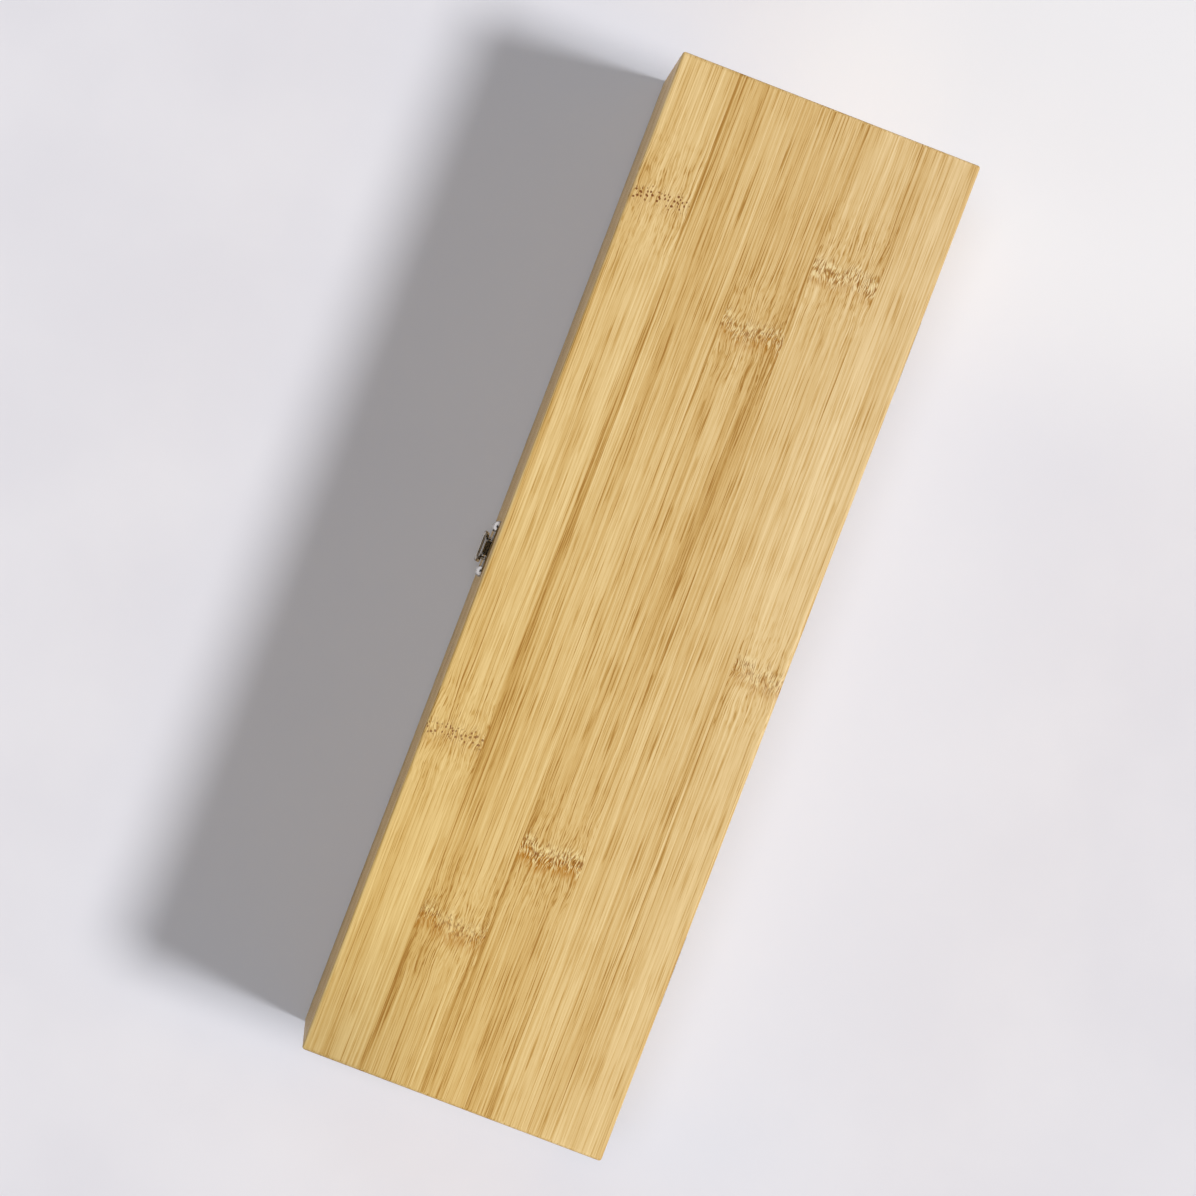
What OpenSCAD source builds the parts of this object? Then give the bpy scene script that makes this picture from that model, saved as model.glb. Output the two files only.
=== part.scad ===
// Bamboo wine box for one bottle, with a hinged lid and a small toggle latch.
// Millimetres. Origin: middle of the underside. X runs along the box, Z is up,
// the latch is on the front at -Y and the hinges are on the back at +Y.

/* [Box] */
// Outside length of the box
box_l = 350; // [330:1:400]
// Outside width of the box, front to back
box_w = 105; // [95:1:130]
// Outside height of the closed box
box_h = 100; // [95:1:130]
// Height of the seam, where the lid meets the base
seam_h = 70; // [55:1:75]
// Thickness of the wall boards
wall_t = 8; // [6:0.5:10]
// Thickness of the bottom board and of the lid's top board
panel_t = 6; // [4:0.5:9]
// Wood left outside each corner rabbet
rabbet_lip = 3; // [2:0.5:5]
// Radius of the eased outer edges
edge_r = 1.2; // [0.5:0.1:2]
// Radius of the eased rims along the seam
rim_r = 0.5; // [0.2:0.1:1]
// Gap between the two rims when the lid is down
lid_gap = 0.2; // [0.1:0.05:0.5]

/* [Hinges] */
// Distance from the middle of each hinge to the nearer end of the box
hinge_inset = 65; // [30:1:100]
// Length of a hinge along its pin
hinge_l = 25; // [20:1:40]
// Height of a leaf, from the pin's axis to its free edge
leaf_h = 10.5; // [9:0.5:14]
// Thickness of the leaf sheet
leaf_t = 0.7; // [0.5:0.1:1]
// Diameter of the hinge pin
hinge_pin_d = 1.2; // [1:0.1:2]
// Number of knuckles, an odd number: the base leaf has one more than the lid leaf
knuckle_count = 5; // [3:2:7]
// Gap between neighbouring knuckles, and between a knuckle and the other leaf
knuckle_gap = 0.25; // [0.15:0.05:0.4]
// Radius of the leaf corners
leaf_corner_r = 1.2; // [0.4:0.1:2]
// How far the pin stands out at each end of the barrel
pin_stand_out = 0.3; // [0.1:0.1:0.6]
// Distance between the two screws of a leaf
hinge_screw_spacing = 15; // [11:0.5:20]
// Distance of the screws from the pin's axis
hinge_screw_offset = 6.2; // [5:0.1:8]
// Shank diameter of the hinge screws
hinge_screw_d = 1.6; // [1.2:0.1:2]
// Diameter of the countersunk head
hinge_head_d = 2.8; // [2.4:0.1:3.2]
// Length of a hinge screw, from its flat head to its tip
hinge_screw_len = 6; // [4:0.5:6]

/* [Latch plates] */
// Metal of both screw plates past the heads of their screws
plate_end_margin = 0.2; // [0.1:0.1:2]
// Height of both screw plates
plate_h = 7; // [6:0.2:9]
// Thickness of the plate metal
plate_t = 0.6; // [0.4:0.1:1]
// Radius of the plate corners
plate_corner_r = 2.4; // [0.5:0.1:3]
// Gap between the bail and the heads of the screws on each side of it
screw_side_room = 0.75; // [0.5:0.05:2]
// Shank diameter of the latch screws
latch_screw_d = 2; // [1.6:0.1:2.4]
// Diameter of the domed head
latch_head_d = 3.6; // [3:0.1:4]
// Height of the domed head
latch_head_h = 1.4; // [0.8:0.1:2]
// Length of a latch screw under its head
latch_screw_len = 6; // [4:0.5:6]
// Height of the catch plate's lower edge above the lid's rim
catch_rise = 1.8; // [0.5:0.1:4]
// Depth of the lever's pivot below the base's rim
pivot_drop = 8; // [6:0.5:14]

/* [Latch hook] */
// Width of the hook
hook_w = 5; // [3:0.1:6]
// Thickness of the hook
hook_t = 0.5; // [0.4:0.1:0.8]
// Height of the hook's floor above the catch plate's lower edge
hook_floor = 1; // [0.5:0.1:2]
// Height of the hook's lip above its floor
hook_lip_h = 1.9; // [1.2:0.1:3]
// Room for the wire in the hook, beyond the wire's diameter
hook_play = 0.3; // [0.1:0.05:0.8]

/* [Lever and bail] */
// Width of the lever
lever_w = 8; // [7:0.1:9]
// Length of the lever below its pivot
lever_l = 15; // [12:0.5:20]
// Thickness of the lever metal
lever_t = 0.5; // [0.4:0.1:0.8]
// Radius of the rounded corners at the finger end
finger_corner_r = 1.6; // [0.5:0.1:2.5]
// How far each side of the lever narrows towards the finger end
finger_taper = 0.6; // [0:0.1:1.5]
// Angle at which the lever dips towards the wall below the bail's pivot
dip_angle = 18; // [8:1:24]
// Angle at which the finger tab flares away from the wall
flare_angle = 12; // [8:1:16]
// Bend radius into the dip, on the metal's middle line
dip_r = 3.5; // [1:0.5:4]
// Length of the sloping stretch in the dip
dip_run = 2.5; // [0.2:0.1:3]
// Bend radius out of the dip, on the metal's middle line
flare_r = 4.5; // [1:0.5:5]
// Gap between the lever's round ends and the base plate behind them
lever_back_gap = 0.15; // [0.1:0.05:0.8]
// Diameter of the pivot pin
pivot_d = 1; // [0.8:0.1:1.4]
// Metal round the pivot pin in the two cheeks
eye_wall = 0.4; // [0.3:0.05:0.6]
// Distance between the lever's pivot and the bail's pivot
bail_throw = 4; // [3.5:0.1:5]
// Thickness of the two cheeks that hold the pivot pin
cheek_t = 0.6; // [0.4:0.1:0.8]
// Diameter of the bail wire
wire_d = 1.2; // [1:0.1:1.4]
// Smallest radius inside the tight bends at the bail's two ends
elbow_inside_r = 0.05; // [0.05:0.05:0.5]
// Bend radius of the bail's two upper corners, on the wire's middle line
bail_corner_r = 1.6; // [1:0.1:2.5]
// How far the bail's ends reach inside the lever's sides
bail_end_reach = 0.35; // [0.2:0.05:0.6]
// Gap between the hook's lip and the unhooked bail in front of it
unhooked_gap = 0.3; // [0.2:0.05:0.6]

/* [Fits] */
// Clearance round a shaft that turns in its bore
running_gap = 0.05; // [0.02:0.01:0.08]
// Clearance round a fixed screw or pin
fixed_gap = 0.03; // [0.01:0.01:0.05]
// Clearance round a screw where it passes through a plate
plate_hole_gap = 0.1; // [0.05:0.05:0.2]
// Clearance between flat sides that slide past each other
side_gap = 0.1; // [0.05:0.05:0.15]

/* [Hidden] */
$fn = 64;
cut = 1;
lap = 0.01;
recess_span = 0.58;
recess_slot = 0.22;
recess_depth = 0.3;
hook_inside_r = 0.3;
bamboo = "#d2ae73";
nickel = "#b9b7b2";

half_l = box_l / 2;
half_w = box_w / 2;
lid_z = seam_h + lid_gap;
inner_w = half_w - rabbet_lip;
hinge_x = half_l - hinge_inset;

hinge_bore_r = hinge_pin_d / 2 + fixed_gap;
knuckle_r = hinge_bore_r + leaf_t;
hinge_y = half_w + knuckle_r;
hinge_z = seam_h + lid_gap / 2;
knuckle_pitch = hinge_l / knuckle_count;
hinge_head_h = (hinge_head_d - hinge_screw_d) / 2;

eye_r = pivot_d / 2 + eye_wall;
lever_end_r = eye_r + side_gap + lever_t;
pivot_out = plate_t + lever_back_gap + lever_end_r;
pivot_z = seam_h - pivot_drop;
bail_pivot_z = pivot_z - bail_throw;
lever_half = lever_w / 2;
cheek_out = lever_half - lever_t - side_gap;
wire_r = wire_d / 2;
elbow_r = wire_r + elbow_inside_r;
leg_x = lever_half + side_gap + elbow_r;
lever_straight = bail_throw + lever_end_r;
dip_drop = dip_r * sin(dip_angle) + dip_run * cos(dip_angle) + flare_r * (sin(dip_angle) + sin(flare_angle));
finger_run = (lever_l - lever_straight - dip_drop - lever_t / 2) / cos(flare_angle);

latch_screw_spacing = 2 * (leg_x + wire_r + screw_side_room) + latch_head_d;
plate_w = latch_screw_spacing + latch_head_d + 2 * plate_end_margin;
catch_z = lid_z + catch_rise;
hook_floor_z = catch_z + hook_floor;
hook_out = plate_t + wire_d + hook_play + hook_t;
bar_out = hook_out + unhooked_gap + wire_r;
bar_z = hook_floor_z + hook_t + wire_r;
bail_l = norm([bar_out - pivot_out, bar_z - bail_pivot_z]);
bail_tilt = atan2(bar_out - pivot_out, bar_z - bail_pivot_z);

// Flat shapes

// The waste that an eased corner loses: a square less a quarter disc
module corner_waste(r) {
    difference() {
        translate([-cut, -cut]) square(r + cut);
        translate([r, r]) circle(r);
    }
}

// A rectangle round the origin in X, from low to high in Y, with eased corners
module eased_rect(width, low, high, r_low, r_high) {
    difference() {
        translate([-width / 2, low]) square([width, high - low]);
        for (side = [0, 1]) mirror([side, 0]) {
            translate([-width / 2, low]) corner_waste(r_low);
            translate([-width / 2, high]) mirror([0, 1]) corner_waste(r_high);
        }
    }
}

// Sheet metal in side view: each piece of the strip carries on where the last one ended.
// The strip starts at the origin and runs downwards, and neighbouring pieces lap a little.
module straight(run, t) {
    translate([-t / 2, -run - lap]) square([t, run + 2 * lap]);
    translate([0, -run]) children();
}

// A bend of up to 90 degrees, to the right when the angle is positive and to the left otherwise
module bend(r, angle, t) {
    side = angle < 0 ? -1 : 1;
    far = 3 * (r + t);
    intersection() {
        translate([side * r, 0]) difference() {
            circle(r + t / 2);
            circle(r - t / 2);
        }
        translate([side * r, 0]) polygon([
            [0, 0],
            [-side * far, 0],
            [-side * far * cos(angle / 2), -far * sin(abs(angle) / 2)],
            [-side * far * cos(angle), -far * sin(abs(angle))]
        ]);
    }
    translate([side * r * (1 - cos(angle)), -r * sin(abs(angle))]) rotate(angle) children();
}

// Placing

// From a side view drawn as (distance out from the front wall, height) to the front wall, width along X
module on_front(width) {
    translate([width / 2, -half_w, 0]) rotate([90, 0, -90]) linear_extrude(width) children();
}

// From a front view drawn as (X, height) to a slab that stands out of the front wall
module from_front(start, depth) {
    translate([0, -half_w - start, 0]) rotate([90, 0, 0]) linear_extrude(depth) children();
}

// A round bar along X, centred on x = 0
module cross_bar(r, run) {
    translate([-run / 2, 0, 0]) rotate([0, 90, 0]) cylinder(r = r, h = run);
}

module at_pivot() {
    translate([0, -half_w - pivot_out, pivot_z]) children();
}

module at_bail_pivot() {
    translate([0, -half_w - pivot_out, bail_pivot_z]) children();
}

module at_plate_screws(z) {
    for (side = [-1, 1]) translate([side * latch_screw_spacing / 2, -half_w, z]) children();
}

// Places its children at the hinge screws of one leaf, on the back wall's face
module at_leaf_screws(up) {
    for (side = [-1, 1])
        translate([side * hinge_screw_spacing / 2, half_w, hinge_z + up * hinge_screw_offset])
            children();
}

module at_hinges() {
    for (side = [-1, 1]) translate([side * hinge_x, 0, 0]) children();
}

// Boards

// One half of the box as a solid block with eased outer edges. The boards are cut from it.
module eased_block(low, high, r_low, r_high) {
    intersection() {
        translate([0, 0, low]) linear_extrude(high - low)
            eased_rect(box_l, -half_w, half_w, edge_r, edge_r);
        translate([half_l, 0, 0]) rotate([90, 0, -90]) linear_extrude(box_l)
            eased_rect(box_w, low, high, r_low, r_high);
        translate([0, half_w, 0]) rotate([90, 0, 0]) linear_extrude(box_w)
            eased_rect(box_l, low, high, r_low, r_high);
    }
}

module base_block() {
    eased_block(0, seam_h, edge_r, rim_r);
}

module lid_block() {
    eased_block(lid_z, box_h, rim_r, edge_r);
}

// A long board of the front (side = -1) or the back (side = 1), rabbeted at both ends
module long_board(low, high, side) {
    difference() {
        translate([-half_l, side > 0 ? half_w - wall_t : -half_w, low])
            cube([box_l, wall_t, high - low]);
        for (end = [-1, 1])
            translate([end > 0 ? half_l - wall_t : -half_l - cut, -inner_w, low - cut])
                cube([wall_t + cut, 2 * inner_w, high - low + 2 * cut]);
    }
}

// An end board, seated in the rabbets of the two long boards
module end_board(low, high, side) {
    translate([side > 0 ? half_l - wall_t : -half_l, -inner_w, low])
        cube([wall_t, 2 * inner_w, high - low]);
}

// Pilot holes for the screws of both plates and all four leaves
module latch_pilots() {
    for (z = [pivot_z, catch_z + plate_h / 2]) at_plate_screws(z) rotate([-90, 0, 0])
        translate([0, 0, -cut])
            cylinder(d = latch_screw_d + 2 * fixed_gap, h = latch_screw_len - plate_t + fixed_gap + cut);
}

module hinge_pilots() {
    at_hinges() for (up = [-1, 1]) at_leaf_screws(up) rotate([90, 0, 0])
        translate([0, 0, -cut])
            cylinder(d = hinge_screw_d + 2 * fixed_gap, h = hinge_screw_len - leaf_t + fixed_gap + cut);
}

module base_panel() {
    color(bamboo) intersection() {
        base_block();
        translate([-half_l, -half_w, 0]) cube([box_l, box_w, panel_t]);
    }
}

module base_front_wall() {
    color(bamboo) difference() {
        intersection() {
            base_block();
            long_board(panel_t, seam_h, -1);
        }
        latch_pilots();
    }
}

module base_back_wall() {
    color(bamboo) difference() {
        intersection() {
            base_block();
            long_board(panel_t, seam_h, 1);
        }
        hinge_pilots();
    }
}

module base_end(side) {
    color(bamboo) intersection() {
        base_block();
        end_board(panel_t, seam_h, side);
    }
}

module lid_panel() {
    color(bamboo) intersection() {
        lid_block();
        translate([-half_l, -half_w, box_h - panel_t]) cube([box_l, box_w, panel_t]);
    }
}

module lid_front_rail() {
    color(bamboo) difference() {
        intersection() {
            lid_block();
            long_board(lid_z, box_h - panel_t, -1);
        }
        latch_pilots();
    }
}

module lid_back_rail() {
    color(bamboo) difference() {
        intersection() {
            lid_block();
            long_board(lid_z, box_h - panel_t, 1);
        }
        hinge_pilots();
    }
}

module lid_end(side) {
    color(bamboo) intersection() {
        lid_block();
        end_board(lid_z, box_h - panel_t, side);
    }
}

// Hinges

// A leaf lies on the back wall, below the seam when up = -1 and above it when up = 1.
// Knuckles are counted from -X. The base leaf has the even ones and the lid leaf the odd ones.
module leaf(up) {
    first_of_other = up < 0 ? 1 : 0;
    color(nickel) difference() {
        union() {
            translate([0, half_w + leaf_t, hinge_z]) rotate([90, 0, 0]) linear_extrude(leaf_t)
                mirror([0, up < 0 ? 0 : 1]) eased_rect(hinge_l, -leaf_h, 0, leaf_corner_r, 0);
            at_hinge_axis() cross_bar(knuckle_r, hinge_l);
        }
        for (k = [first_of_other : 2 : knuckle_count - 1])
            translate([(k + 0.5) * knuckle_pitch - hinge_l / 2, 0, 0]) at_hinge_axis() knuckle_room();
        at_hinge_axis() cross_bar(hinge_bore_r, hinge_l + 2 * cut);
        at_leaf_screws(up) translate([0, leaf_t, 0]) rotate([90, 0, 0]) countersunk_hole();
    }
}

module at_hinge_axis() {
    translate([0, hinge_y, hinge_z]) children();
}

// Room in a leaf for one knuckle of the other leaf
module knuckle_room() {
    width = knuckle_pitch + knuckle_gap;
    reach = knuckle_r + knuckle_gap;
    translate([-width / 2, -reach, -reach]) cube([width, 2 * reach, 2 * reach]);
}

module countersunk_hole() {
    translate([0, 0, -cut]) cylinder(d = hinge_screw_d + 2 * plate_hole_gap, h = leaf_t + 2 * cut);
    translate([0, 0, -fixed_gap])
        cylinder(d1 = hinge_head_d + 2 * fixed_gap, d2 = hinge_screw_d + 2 * fixed_gap, h = hinge_head_h);
    translate([0, 0, -cut]) cylinder(d = hinge_head_d + 2 * fixed_gap, h = cut - fixed_gap / 2);
}

// A countersunk screw that points down from its flat head at z = 0
module countersunk_screw() {
    difference() {
        rotate_extrude() polygon([
            [0, 0],
            [hinge_head_d / 2, 0],
            [hinge_screw_d / 2, -hinge_head_h],
            [hinge_screw_d / 2, hinge_screw_d - hinge_screw_len],
            [0, -hinge_screw_len]
        ]);
        cross_recess(recess_span * hinge_head_d);
    }
}

// A domed screw that points down from the seat of its head at z = 0
module domed_screw() {
    dome_r = (pow(latch_head_d / 2, 2) + pow(latch_head_h, 2)) / (2 * latch_head_h);
    difference() {
        rotate_extrude() union() {
            intersection() {
                translate([0, latch_head_h - dome_r]) circle(dome_r);
                square([latch_head_d, latch_head_h]);
            }
            polygon([
                [0, 0],
                [latch_screw_d / 2, 0],
                [latch_screw_d / 2, latch_screw_d - latch_screw_len],
                [0, -latch_screw_len]
            ]);
        }
        translate([0, 0, latch_head_h]) cross_recess(recess_span * latch_head_d);
    }
}

// The recess for a cross-head driver, from z = 0 down
module cross_recess(span) {
    slot_w = recess_slot * span;
    depth = recess_depth * span;
    for (turn = [0, 90]) rotate(turn)
        translate([-span / 2, -slot_w / 2, -depth]) cube([span, slot_w, depth + cut]);
}

module hinge_screws(up) {
    color(nickel) at_hinges() at_leaf_screws(up) translate([0, leaf_t, 0]) rotate([-90, 0, 0])
        countersunk_screw();
}

module hinge_pin() {
    color(nickel) at_hinge_axis() cross_bar(hinge_pin_d / 2, hinge_l + 2 * pin_stand_out);
}

module left_hinge() {
    translate([-hinge_x, 0, 0]) children();
}

module right_hinge() {
    translate([hinge_x, 0, 0]) children();
}

// Latch

module screw_plate(low) {
    difference() {
        from_front(0, plate_t)
            eased_rect(plate_w, low, low + plate_h, plate_corner_r, plate_corner_r);
        at_plate_screws(low + plate_h / 2) rotate([90, 0, 0]) translate([0, 0, -cut])
            cylinder(d = latch_screw_d + 2 * plate_hole_gap, h = plate_t + 2 * cut);
    }
}

// The base plate: two ears, and two cheeks that stand out of its middle and hold the pivot pin
module latch_base_plate() {
    color(nickel) difference() {
        union() {
            screw_plate(pivot_z - plate_h / 2);
            for (side = [0, 1]) mirror([side, 0, 0])
                translate([cheek_out - cheek_t / 2, 0, 0]) on_front(cheek_t) cheek_outline();
        }
        at_pivot() cross_bar(pivot_d / 2 + fixed_gap, lever_w);
    }
}

// Side view of a cheek: a straight foot with a round eye for the pin
module cheek_outline() {
    translate([pivot_out, pivot_z]) circle(eye_r);
    translate([0, pivot_z - eye_r]) square([pivot_out, 2 * eye_r]);
}

module latch_screws(z) {
    color(nickel) at_plate_screws(z) translate([0, -plate_t, 0]) rotate([90, 0, 0]) domed_screw();
}

module latch_pivot_pin() {
    color(nickel) at_pivot() cross_bar(pivot_d / 2, lever_w);
}

// The catch plate: a hook folded out of its own window in the middle of the plate
module catch_plate() {
    window_h = hook_lip_h + wire_d;
    color(nickel) {
        difference() {
            screw_plate(catch_z);
            from_front(-cut, plate_t + 2 * cut) translate([-hook_w / 2 - side_gap, hook_floor_z + hook_t])
                square([hook_w + 2 * side_gap, window_h]);
        }
        on_front(hook_w) hook_outline();
    }
}

// Side view of the hook: out from the plate, then up into a lip
module hook_outline() {
    fold_r = hook_inside_r + hook_t / 2;
    root = plate_t / 2;
    translate([root, hook_floor_z + hook_t / 2]) rotate(90)
        straight(hook_out - hook_t / 2 - fold_r - root, hook_t) bend(fold_r, 90, hook_t)
            straight(hook_lip_h - fold_r - hook_t, hook_t) strip_end(hook_t);
}

// A half-round end on a strip
module strip_end(t) {
    circle(t / 2);
}

// The lever: a channel that holds both pivots and ends in a flared finger tab
module latch_lever() {
    color(nickel) difference() {
        intersection() {
            union() {
                on_front(lever_w) lever_web_outline();
                for (side = [0, 1]) mirror([side, 0, 0])
                    translate([lever_half - lever_t / 2, 0, 0]) on_front(lever_t) lever_side_outline();
            }
            from_front(0, 2 * (pivot_out + lever_end_r)) lever_front_outline();
        }
        at_pivot() cross_bar(pivot_d / 2 + running_gap, lever_w + 2 * cut);
        at_bail_pivot() cross_bar(wire_r + running_gap, lever_w + 2 * cut);
    }
}

// Side view of the web: it starts level with the pivot, runs down past the bail's pivot, dips towards
// the wall and comes out again to the finger tab
module lever_web_outline() {
    translate([pivot_out + lever_end_r - lever_t / 2, pivot_z])
        straight(lever_straight, lever_t) bend(dip_r, -dip_angle, lever_t)
            straight(dip_run, lever_t) bend(flare_r, dip_angle + flare_angle, lever_t)
                straight(finger_run, lever_t) strip_end(lever_t);
}

// Side view of a side wall: round both pivots, and up against the web between them
module lever_side_outline() {
    for (z = [pivot_z, bail_pivot_z]) translate([pivot_out, z]) circle(lever_end_r);
    translate([pivot_out - lever_end_r, bail_pivot_z]) square([2 * lever_end_r, bail_throw]);
    translate([pivot_out, bail_pivot_z - lever_end_r]) square([lever_end_r, lever_end_r]);
}

// Front view of the lever: parallel past the bail's pivot, then narrowing to rounded corners
module lever_front_outline() {
    top_z = pivot_z + 2 * lever_end_r;
    shoulder_z = pivot_z - lever_straight;
    tip_z = pivot_z - lever_l;
    tip_half = lever_half - finger_taper;
    corner_z = tip_z + finger_corner_r;
    difference() {
        polygon([
            [-lever_half, top_z], [lever_half, top_z], [lever_half, shoulder_z], [tip_half, corner_z],
            [tip_half, tip_z], [-tip_half, tip_z], [-tip_half, corner_z], [-lever_half, shoulder_z]
        ]);
        for (side = [0, 1]) mirror([side, 0]) translate([-tip_half, tip_z]) corner_waste(finger_corner_r);
    }
}

// The bail: a wire loop whose ends turn in and sit in the lever's sides
module latch_bail() {
    color(nickel) at_bail_pivot() rotate([bail_tilt, 0, 0]) {
        for (side = [0, 1]) mirror([side, 0, 0]) {
            end_x = lever_half - lever_t - bail_end_reach;
            translate([end_x, 0, 0]) rotate([0, 90, 0]) cylinder(r = wire_r, h = leg_x - elbow_r - end_x);
            translate([leg_x - elbow_r, 0, elbow_r]) rotate([90, 0, 0]) wire_bend(elbow_r, -90);
            translate([leg_x, 0, elbow_r]) cylinder(r = wire_r, h = bail_l - elbow_r - bail_corner_r);
            translate([leg_x - bail_corner_r, 0, bail_l - bail_corner_r]) rotate([90, 0, 0])
                wire_bend(bail_corner_r, 0);
        }
        translate([0, 0, bail_l]) cross_bar(wire_r, 2 * (leg_x - bail_corner_r));
    }
}

// A quarter turn of wire, starting at the given angle
module wire_bend(r, start) {
    rotate(start) rotate_extrude(angle = 90) translate([r, 0]) circle(wire_r);
}

base_panel();
base_front_wall();
base_back_wall();
base_end(-1);  // base_left_end
base_end(1);  // base_right_end
left_hinge() leaf(-1);  // hinge_left_base_leaf
right_hinge() leaf(-1);  // hinge_right_base_leaf
left_hinge() hinge_pin();  // hinge_left_pin
right_hinge() hinge_pin();  // hinge_right_pin
hinge_screws(-1);  // hinge_base_screws
latch_base_plate();
latch_screws(pivot_z);  // latch_base_screws
latch_pivot_pin();
lid_panel();
lid_front_rail();
lid_back_rail();
lid_end(-1);  // lid_left_rail
lid_end(1);  // lid_right_rail
left_hinge() leaf(1);  // hinge_left_lid_leaf
right_hinge() leaf(1);  // hinge_right_lid_leaf
hinge_screws(1);  // hinge_lid_screws
catch_plate();
latch_screws(catch_z + plate_h / 2);  // catch_screws
latch_lever();
latch_bail();
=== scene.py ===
"""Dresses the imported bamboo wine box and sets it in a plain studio.

The boards, plates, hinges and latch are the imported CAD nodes. This script gives each of them
its finish, replaces the plain screws with turned ones, and makes the floor, the lamps and the
camera. Lengths in the code are millimetres unless a name or a comment says otherwise.
"""

import enum
import logging
import math
from dataclasses import dataclass, field

import bmesh
import bpy
from mathutils import Matrix, Vector


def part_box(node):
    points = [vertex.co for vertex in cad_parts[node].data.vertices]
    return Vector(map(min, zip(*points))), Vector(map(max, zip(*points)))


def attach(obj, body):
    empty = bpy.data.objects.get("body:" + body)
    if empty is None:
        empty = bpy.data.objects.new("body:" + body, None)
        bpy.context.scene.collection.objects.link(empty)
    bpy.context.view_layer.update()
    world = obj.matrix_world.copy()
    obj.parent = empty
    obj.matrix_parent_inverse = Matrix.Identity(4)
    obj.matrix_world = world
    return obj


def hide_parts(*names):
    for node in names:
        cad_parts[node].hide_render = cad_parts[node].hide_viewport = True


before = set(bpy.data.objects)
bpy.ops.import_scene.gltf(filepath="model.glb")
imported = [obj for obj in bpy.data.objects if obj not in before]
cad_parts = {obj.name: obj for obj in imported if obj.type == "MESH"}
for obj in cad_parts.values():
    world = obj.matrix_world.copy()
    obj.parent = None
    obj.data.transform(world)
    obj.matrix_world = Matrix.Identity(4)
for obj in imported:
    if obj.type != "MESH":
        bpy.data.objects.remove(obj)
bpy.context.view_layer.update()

log = logging.getLogger("wine_box")
MM = 0.001
Triple = tuple[float, float, float]
Colour = Triple
Value = "Wire | float"


def srgb(red: float, green: float, blue: float) -> Colour:
    """Turns a colour in 0 to 255 steps into the linear colour that a shader takes.

    Args:
        red: Red, 0 to 255.
        green: Green, 0 to 255.
        blue: Blue, 0 to 255.

    Returns:
        The linear red, green and blue.
    """

    def linear(step: float) -> float:
        """One of the three, as a linear share of full light."""
        share = step / 255
        return share / 12.92 if share <= 0.04045 else ((share + 0.055) / 1.055) ** 2.4

    return linear(red), linear(green), linear(blue)


class Axis(enum.Enum):
    """The three axes of the box: along it, front to back, and up."""

    LENGTH = 0
    DEPTH = 1
    HEIGHT = 2


class Blend(enum.Enum):
    """How the second colour of a mix works on the first."""

    BETWEEN = "MIX"
    TINT = "MULTIPLY"


# Shading


class Wire:
    """A shader socket that does sums: an expression on wires adds its Math nodes."""

    def __init__(self, shading: "Shading", socket: bpy.types.NodeSocket) -> None:
        """Keeps the socket and the node tree that it belongs to."""
        self.shading = shading
        self.socket = socket

    def __add__(self, other: Value) -> "Wire":
        """This plus other."""
        return self.shading.math("ADD", self, other)

    __radd__ = __add__

    def __sub__(self, other: Value) -> "Wire":
        """This less other."""
        return self.shading.math("SUBTRACT", self, other)

    def __rsub__(self, other: Value) -> "Wire":
        """Other less this."""
        return self.shading.math("SUBTRACT", other, self)

    def __mul__(self, other: Value) -> "Wire":
        """This times other."""
        return self.shading.math("MULTIPLY", self, other)

    __rmul__ = __mul__

    def __gt__(self, other: Value) -> "Wire":
        """1 where this is over other, and 0 elsewhere."""
        return self.shading.math("GREATER_THAN", self, other)

    def __abs__(self) -> "Wire":
        """This without its sign."""
        return self.shading.math("ABSOLUTE", self)

    def smooth(self, start: float, end: float) -> "Wire":
        """Rises smoothly from 0 where this is at start to 1 where it is at end.

        Args:
            start: The value that gives 0. It may be over end, and then the step falls.
            end: The value that gives 1.

        Returns:
            The smooth step.
        """
        low, high = min(start, end), max(start, end)
        step = self.shading.node(
            "ShaderNodeMapRange",
            {"interpolation_type": "SMOOTHSTEP"},
            {"Value": self, "From Min": low, "From Max": high},
        )
        rising = self.shading.wire(step, "Result")
        return rising if start < end else 1 - rising


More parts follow.
